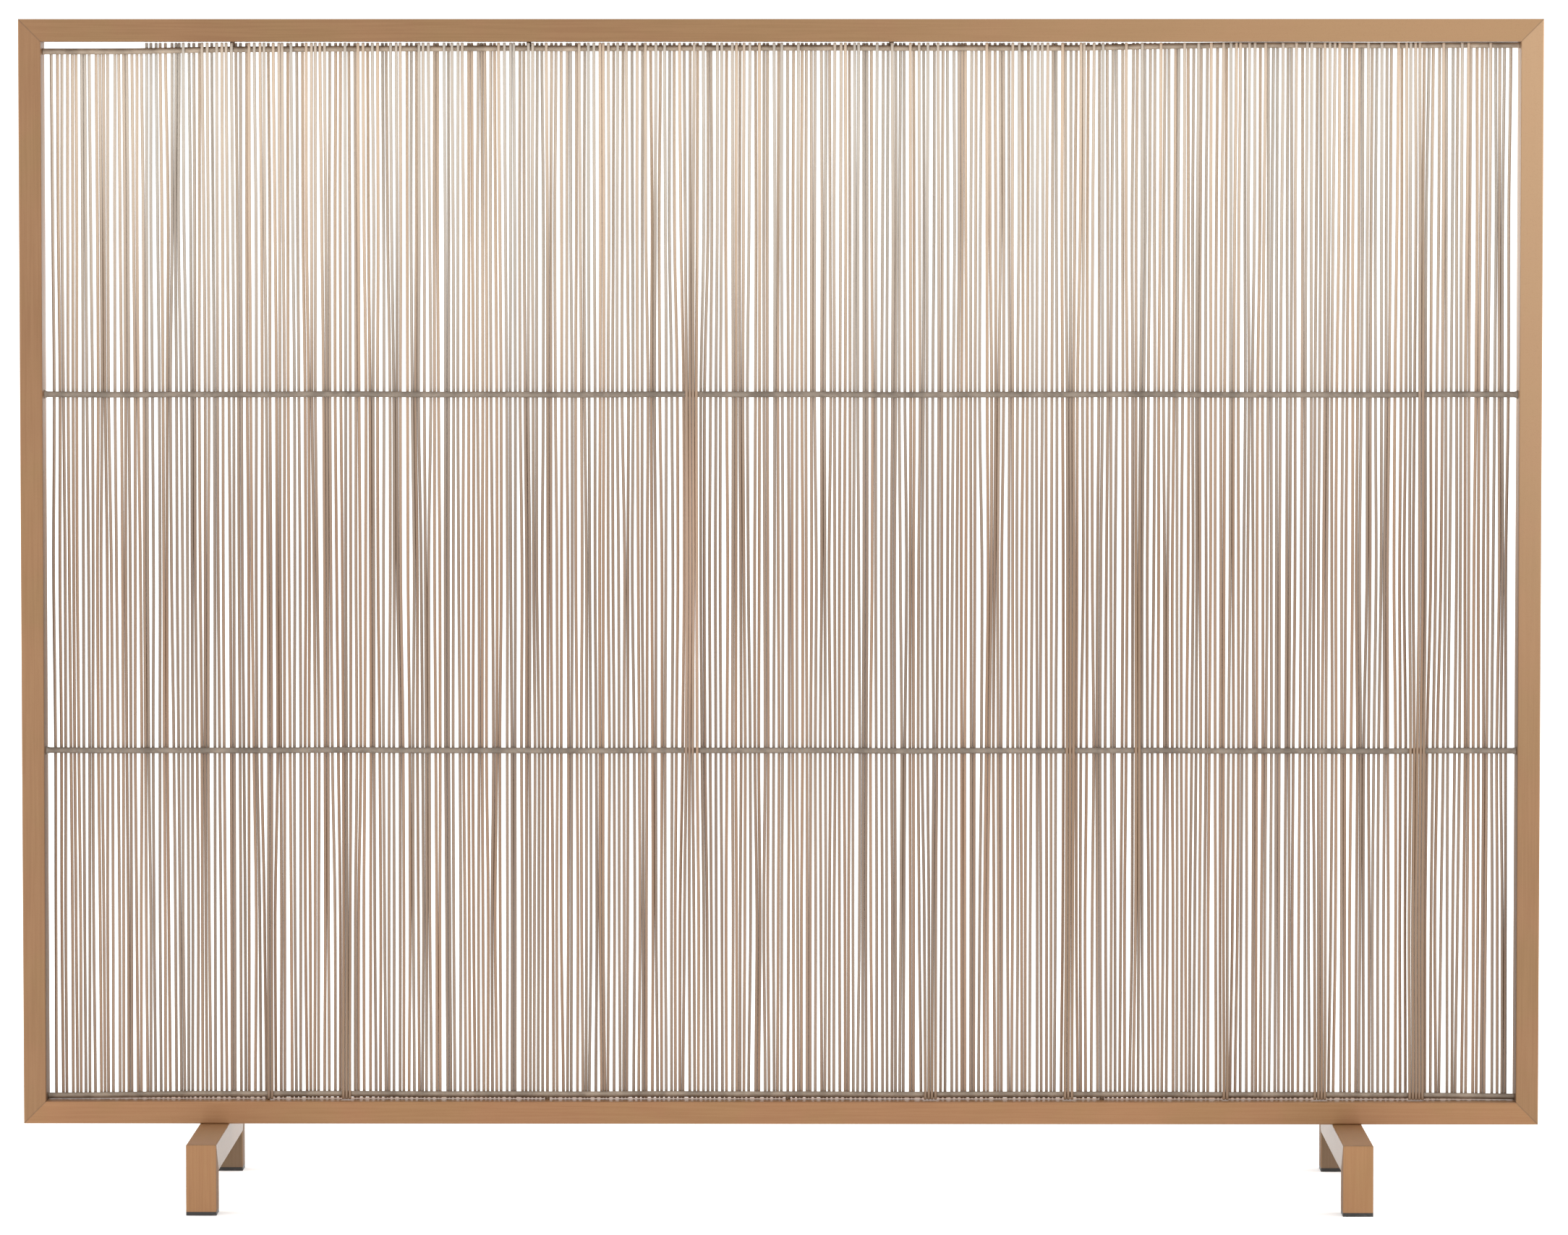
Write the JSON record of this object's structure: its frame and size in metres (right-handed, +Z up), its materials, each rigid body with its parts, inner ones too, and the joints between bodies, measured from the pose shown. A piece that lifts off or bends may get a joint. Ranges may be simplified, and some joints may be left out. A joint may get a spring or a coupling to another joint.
{
  "type": "fireplace screen",
  "caption": "Free-standing flat fireplace screen: rectangular tube frame on bent-tube legs, filled with close, slightly uneven vertical metal rods welded to horizontal wires.",
  "frame": {"origin": "on the floor, under the middle of the screen, midway between front and rear feet", "axes": "+X along the screen to the viewer's right, +Y from the front to the back, +Z up; the front faces -Y"},
  "size_m": [1.016, 0.229, 0.787],
  "materials": {
    "frame_metal": "satin antique bronze lacquer on steel tube",
    "wire_metal": "dull dark bronze lacquer on steel wire, browner at the welds",
    "rod_metal": "satin bronze lacquer on drawn steel rod",
    "leg_metal": "satin antique bronze lacquer on square steel tube",
    "glide_plastic": "black moulded plastic",
    "screw_steel": "black oxide",
    "insert_steel": "zinc plated"
  },
  "bodies": {
    "root": {"top_rail": "frame_metal", "bottom_rail": "frame_metal", "left_stile": "frame_metal", "right_stile": "frame_metal", "top_wire": "wire_metal", "upper_wire": "wire_metal", "lower_wire": "wire_metal", "bottom_wire": "wire_metal", "top_tabs": "wire_metal", "bottom_tabs": "wire_metal", "rods_01": "rod_metal", "rods_02": "rod_metal", "rods_03": "rod_metal", "rods_04": "rod_metal", "rods_05": "rod_metal", "rods_06": "rod_metal", "rods_07": "rod_metal", "rods_08": "rod_metal", "rods_09": "rod_metal", "rods_10": "rod_metal", "rods_11": "rod_metal", "rods_12": "rod_metal", "rods_13": "rod_metal", "rods_14": "rod_metal", "rods_15": "rod_metal", "rods_16": "rod_metal", "rods_17": "rod_metal", "rods_18": "rod_metal", "rods_19": "rod_metal", "rods_20": "rod_metal", "rods_21": "rod_metal", "rods_22": "rod_metal", "rods_23": "rod_metal", "rods_24": "rod_metal", "rods_25": "rod_metal", "rods_26": "rod_metal", "rods_27": "rod_metal", "rods_28": "rod_metal", "rods_29": "rod_metal", "rods_30": "rod_metal", "rods_31": "rod_metal", "left_crossbar": "leg_metal", "left_front_foot": "leg_metal", "left_rear_foot": "leg_metal", "right_crossbar": "leg_metal", "right_front_foot": "leg_metal", "right_rear_foot": "leg_metal", "left_front_glide": "glide_plastic", "left_rear_glide": "glide_plastic", "right_front_glide": "glide_plastic", "right_rear_glide": "glide_plastic", "leg_screws": "screw_steel", "leg_inserts": "insert_steel"}
  },
  "joints": []
}
